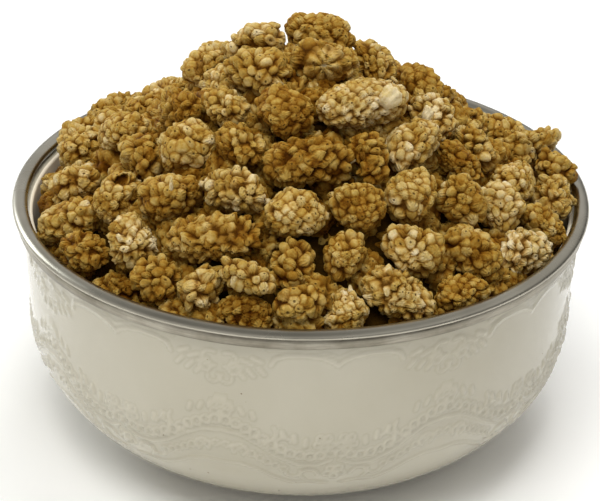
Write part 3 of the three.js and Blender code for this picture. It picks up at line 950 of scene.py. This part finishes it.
def make_loose_berries(materials):
    ball, stub, lobe = map(geodesic, (LOOSE_PARTS, STUB_PARTS, LOBE_PARTS))
    slots = {row["node"]: row["material_slot"] for row in frame["record"]["subparts"]}
    nodes = [name for name in sorted(frame["nodes"])
             if name.startswith("mulberry_") and name != HEAP]
    berries = []
    for node in nodes:
        number = int(node[-2:])
        random = np.random.default_rng(number)
        berry = read_berry(node)
        slot = slots[node]
        shift = TONE_SHIFT * ((number in LIGHTER) - (number in DARKER))
        tone = TONES[slot] + random.normal(0, TONE_SPREAD) + shift
        hollow = random.random() < HOLLOW_SHARE
        form = berry_form(random, berry.length, berry.width, ball, tone, hollow)
        if random.random() < STUB_SHARE and not hollow:
            form = join_forms([form, stalk_stub(random, berry.length / 2, stub)])
        axis = berry.axis * (1 if random.random() < 0.5 else -1)
        form = place_form(form, berry.centre, axis, random.uniform(0, math.tau))
        if node in PITS:
            form = open_pit(form, *PITS[node])
        if node in ROSETTES:
            form = rosette(form, *ROSETTES[node])
        if node in PALE_LOBES:
            form = join_forms([form, pale_lobe(*PALE_LOBES[node], lobe)])
        make_fruit(f"dried_{node}", form, materials[slot], slot, node)
        berries.append(berry)
    return berries


# The heap's own berries, in two layers: depth, length and width are a least value and a spread.
Layer = namedtuple("Layer", "count reach depth length width lean seed")
BED = Layer(100, 65, (6, 2.5), (13.5, 5), (11, 1.5), 30, 2024)
DEEP = Layer(120, 66, (9.5, 2.5), (13, 4), (10.5, 1.5), 60, 77)
BED_SHARE = 0.93
# A berry sinks, in steps, until loose berries reach no more than an overlap into it.
SINK_STEPS = 8
SINK_STEP = 1
BED_OVERLAP = 3
DEEP_OVERLAP = 4.6
# A ring of berries fills the groove between the heap and the bowl's wall.
EDGE_COUNT = 34
EDGE_REACH = 65.0
EDGE_HEIGHT = 62.0
EDGE_SEED = 31
# The heap's deep dark gaps: places across and back, whose berries are lowered.
GAP_PLACES = [
    (-33, -15), (57, -20), (4, -16), (-22, -40), (-23, -14), (20, -50), (17, -25), (-6, -32),
    (15, -39), (30, -24), (49, -19), (8, -43), (-45, -20), (40, -25), (35, -42), (-15, -55),
]
GAP_REACH = 8.0
GAP_SINK = 4.0
# Berries on the rear shoulders, seen against the rim: middle, length, width and axis's bearing.
SHOULDER_BERRIES = [
    ((-60.6, 14.5, 70.0), 15.0, 11.5, 170),
    ((-58.6, 25.0, 68.4), 16.0, 11.0, 120),
    ((-54.0, 34.0, 69.2), 15.5, 12.0, 165),
    ((-48.6, 42.0, 67.4), 16.0, 11.0, 110),
    ((56.4, 27.5, 68.4), 15.0, 11.0, 220),
    ((62.0, 15.5, 72.4), 15.5, 11.5, 110),
]
# How fine the meshes are: the finest at the top, coarser where less of them shows.
BED_PARTS = 14
SUNK_PARTS = 9
DEEP_PARTS = 8
HIDDEN_PARTS = 7
HIDDEN_SINK = 3
HEAP_TONES = (0.36, 0.5, 0.54, 0.66)
# The core fills the bowl under them. Its top has rings at these radii.
CORE_DEPTH = 15.0
CORE_RINGS = (62, 52, 42, 32, 22, 12, 5)
CORE_SIDES = 96


def seeded_random(seed):
    state = seed
    while True:
        state = state * 16807 % 2147483647
        yield state / 2147483647


def heap_top(out):
    return RIM_HEIGHT + HEAP_RISE * (1 - (out / BEAD_RADIUS) ** HEAP_POWER)


def outwards(bearing):
    """The level direction at a bearing, counted from the front."""
    return np.array([math.sin(bearing), -math.cos(bearing), 0])


def heap_berry(centre, axis, normal, length, width):
    return SimpleNamespace(centre=centre, axis=axis, normal=normal, length=length, width=width,
                           sunk=0)


def sunflower(layer):
    """Berries lying in the heap's surface at sunflower places."""
    random = seeded_random(layer.seed)
    berries = []
    for i in range(layer.count):
        outward = outwards(i * GOLDEN_ANGLE)
        out = layer.reach * math.sqrt((i + 0.5) / layer.count)
        turn = math.tau * next(random)
        tip = math.radians(layer.lean * (next(random) - 0.5))
        length, width, depth = (least + spread * next(random)
                                for least, spread in (layer.length, layer.width, layer.depth))
        fall = HEAP_RISE * HEAP_POWER / BEAD_RADIUS * (out / BEAD_RADIUS) ** (HEAP_POWER - 1)
        normal = unit(outward * fall + UPRIGHT)
        right = unit(np.array([1.0, 0, 0]) - normal * normal[0])
        back = np.cross(normal, right)
        axis = right * math.cos(turn) + back * math.sin(turn)
        axis = axis * math.cos(tip) + normal * math.sin(tip)
        centre = outward * out + UPRIGHT * heap_top(out) - normal * depth
        berries.append(heap_berry(centre, axis, normal, length, width))
    return berries


def edge_berries():
    """Berries side by side along the bowl's wall, each turned a little."""
    random = seeded_random(EDGE_SEED)
    berries = []
    for i in range(EDGE_COUNT):
        outward = outwards(math.tau * (i + 0.6 * next(random)) / EDGE_COUNT)
        turned_out = outward * (next(random) - 0.5) * 0.5
        tipped_up = UPRIGHT * 0.6 * (next(random) - 0.5)
        axis = unit(np.cross(outward, UPRIGHT) + turned_out + tipped_up)
        centre = outward * (EDGE_REACH - 1.5 * next(random))
        centre += UPRIGHT * (EDGE_HEIGHT - 2.5 * next(random))
        length = 13 + 3 * next(random)
        width = 10.5 + next(random)
        berries.append(heap_berry(centre, axis, UPRIGHT, length, width))
    return berries


def shoulder_berries():
    return [heap_berry(np.array(centre), outwards(math.radians(bearing)), UPRIGHT, length, width)
            for centre, length, width, bearing in SHOULDER_BERRIES]


def spine_points(berries):
    """Points along each berry's middle line, between the middles of its ends."""
    steps = np.linspace(-1, 1, 5)[None, :, None]
    centres = np.array([b.centre for b in berries])[:, None]
    axes = np.array([b.axis * (b.length - b.width) / 2 for b in berries])[:, None]
    return centres + axes * steps


def sink(berries, loose, overlap):
    """Lowers berries until the loose ones reach no more than the overlap into them."""
    spines = spine_points(loose)
    reach = np.array([b.width for b in loose]) / 2 - overlap
    for berry in berries:
        for _ in range(SINK_STEPS):
            ways = spines[:, :, None] - spine_points([berry])[0]
            away = np.linalg.norm(ways, axis=3).min(axis=(1, 2))
            if (away >= reach + berry.width / 2).all():
                break
            berry.centre = berry.centre - berry.normal * SINK_STEP
            berry.sunk += 1


def open_gaps(berries, drop):
    """Lowers the heap's own berries at the places of its deep dark gaps."""
    for berry in berries:
        across, back = berry.centre[:2]
        if min(math.hypot(across - x, back - y) for x, y in GAP_PLACES) < GAP_REACH:
            berry.centre = berry.centre - berry.normal * drop


def make_heap(loose, material):
    bed = sunflower(BED)
    sink(bed, loose, BED_OVERLAP)
    deep = sunflower(DEEP) + edge_berries()
    sink(deep, loose, DEEP_OVERLAP)
    for berry in bed:
        berry.length *= BED_SHARE
        berry.width *= BED_SHARE
    open_gaps(bed, GAP_SINK)
    open_gaps(deep, GAP_SINK / 2)
    bed += shoulder_berries()
    # The lower layers' berries are darker in tone, as painted shade.
    groups = [
        ("top", [b for b in bed if not b.sunk], BED_PARTS, 0.0),
        ("low", [b for b in bed if b.sunk], SUNK_PARTS, -0.08),
        ("deep", [b for b in deep if b.sunk < HIDDEN_SINK], DEEP_PARTS, -0.16),
        ("hidden", [b for b in deep if b.sunk >= HIDDEN_SINK], HIDDEN_PARTS, -0.22),
    ]
    for number, (layer, berries, parts, layer_shade) in enumerate(groups, 1):
        ball = geodesic(parts)
        forms = []
        for i, berry in enumerate(berries):
            random = np.random.default_rng(1000 * number + i)
            tone = random.choice(HEAP_TONES) + layer_shade
            form = berry_form(random, berry.length, berry.width, ball, tone)
            roll = random.uniform(0, math.tau)
            forms.append(place_form(form, berry.centre, berry.axis, roll))
        make_fruit(f"heap_berries_{layer}", join_forms(forms), material, HEAP, HEAP)


def make_core():
    inset = WALL_THICKNESS + 2 * GAP
    edge = WALL_RADIUS - inset
    profile = [(0, FLOOR_THICKNESS + GAP), *belly(inset, FLOOR_THICKNESS + GAP, 6),
               (WALL_FOOT_RADIUS - inset, WALL_FOOT_HEIGHT)]
    profile += [(out, heap_top(out) - CORE_DEPTH) for out in (edge, *CORE_RINGS, 0)]
    make_piece("heap_core", *turned(profile, CORE_SIDES), dark_heap_material(), HEAP, HEAP)


# Camera, light and floor. The camera is fitted to the photograph, in millimetres from the rim's
# middle and in degrees.
CAMERA_DISTANCE = 600
CAMERA_ELEVATION = 27.22
CAMERA_PITCH = 1.473
CAMERA_ROLL = 0.95
FOCAL_PIXELS = 2263.7
PHOTO_WIDTH = 600
SENSOR_WIDTH = 36

FLOOR_REACH = 4000
SKY_STRENGTH = 0.72
SKY_TILT = -0.3
SKY_STOPS = [(place, (grey, grey * 0.99, grey * 0.97))
             for place, grey in ((0.0, 0.20), (0.45, 1.0), (1.0, 0.35))]
# Lamps, in metres and watts. The rim shows only those that are reflected.
Lamp = namedtuple("Lamp", "place size power tint reflected")
LAMP_AIM = (0, 0, 0.06)
LAMPS = {
    "key": Lamp((-0.12, -0.38, 0.93), 0.5, 5.4, (1.0, 0.99, 0.96), False),
    "top": Lamp((0.2, 0.35, 1.0), 0.6, 4.6, (1.0, 1.0, 1.0), False),
    "window": Lamp((-0.85, 0.65, 0.50), 0.5, 3.3, (0.92, 0.98, 1.0), True),
}


def make_camera():
    data = bpy.data.cameras.new("camera")
    data.sensor_fit = "HORIZONTAL"
    data.sensor_width = SENSOR_WIDTH
    data.lens = FOCAL_PIXELS * SENSOR_WIDTH / PHOTO_WIDTH
    camera = make_object("camera", data)
    elevation = math.radians(CAMERA_ELEVATION)
    camera.location = (0, -CAMERA_DISTANCE * math.cos(elevation) * MM,
                       (RIM_HEIGHT + CAMERA_DISTANCE * math.sin(elevation)) * MM)
    pitch = Euler((math.radians(90 - CAMERA_ELEVATION - CAMERA_PITCH), 0, 0)).to_matrix()
    roll = Euler((0, 0, math.radians(CAMERA_ROLL))).to_matrix()
    camera.rotation_euler = (pitch @ roll).to_euler()
    bpy.context.scene.camera = camera


def make_lamp(name, lamp):
    data = bpy.data.lights.new(name, "AREA")
    data.shape = "SQUARE"
    data.size = lamp.size
    data.energy = lamp.power
    data.color = lamp.tint
    light = make_object(name, data)
    light.location = lamp.place
    aim = Vector(LAMP_AIM) - Vector(lamp.place)
    light.rotation_euler = aim.to_track_quat("-Z", "Y").to_euler()
    light.visible_glossy = lamp.reflected


def make_floor():
    corners = np.array([(-1, -1, 0), (1, -1, 0), (1, 1, 0), (-1, 1, 0)])
    floor = make_mesh("floor", corners * FLOOR_REACH, [(0, 1, 2, 3)], floor_material())


def make_sky():
    """Soft light from all round, brightest near the horizon."""
    world = bpy.data.worlds.new("studio")
    world.use_nodes = True
    tree = Nodes(world.node_tree)
    across, _, up = tree.parts(tree.add("TexCoord").outputs["Generated"])
    height = tree.add("Math", {0: across, 1: SKY_TILT, 2: up}, operation="MULTIPLY_ADD").outputs[0]
    background = tree.nodes["Background"]
    tree.links.new(tree.ramp(height, SKY_STOPS), background.inputs["Color"])
    background.inputs["Strength"].default_value = SKY_STRENGTH
    bpy.context.scene.world = world
    bpy.context.scene.view_settings.view_transform = "Standard"


make_camera()
make_floor()
make_sky()
for name, lamp in LAMPS.items():
    make_lamp(name, lamp)
make_bowl()
make_rim()
fruit = {slot: fruit_material(slot) for slot in (*TONES, HEAP)}
make_heap(make_loose_berries(fruit), fruit[HEAP])
make_core()
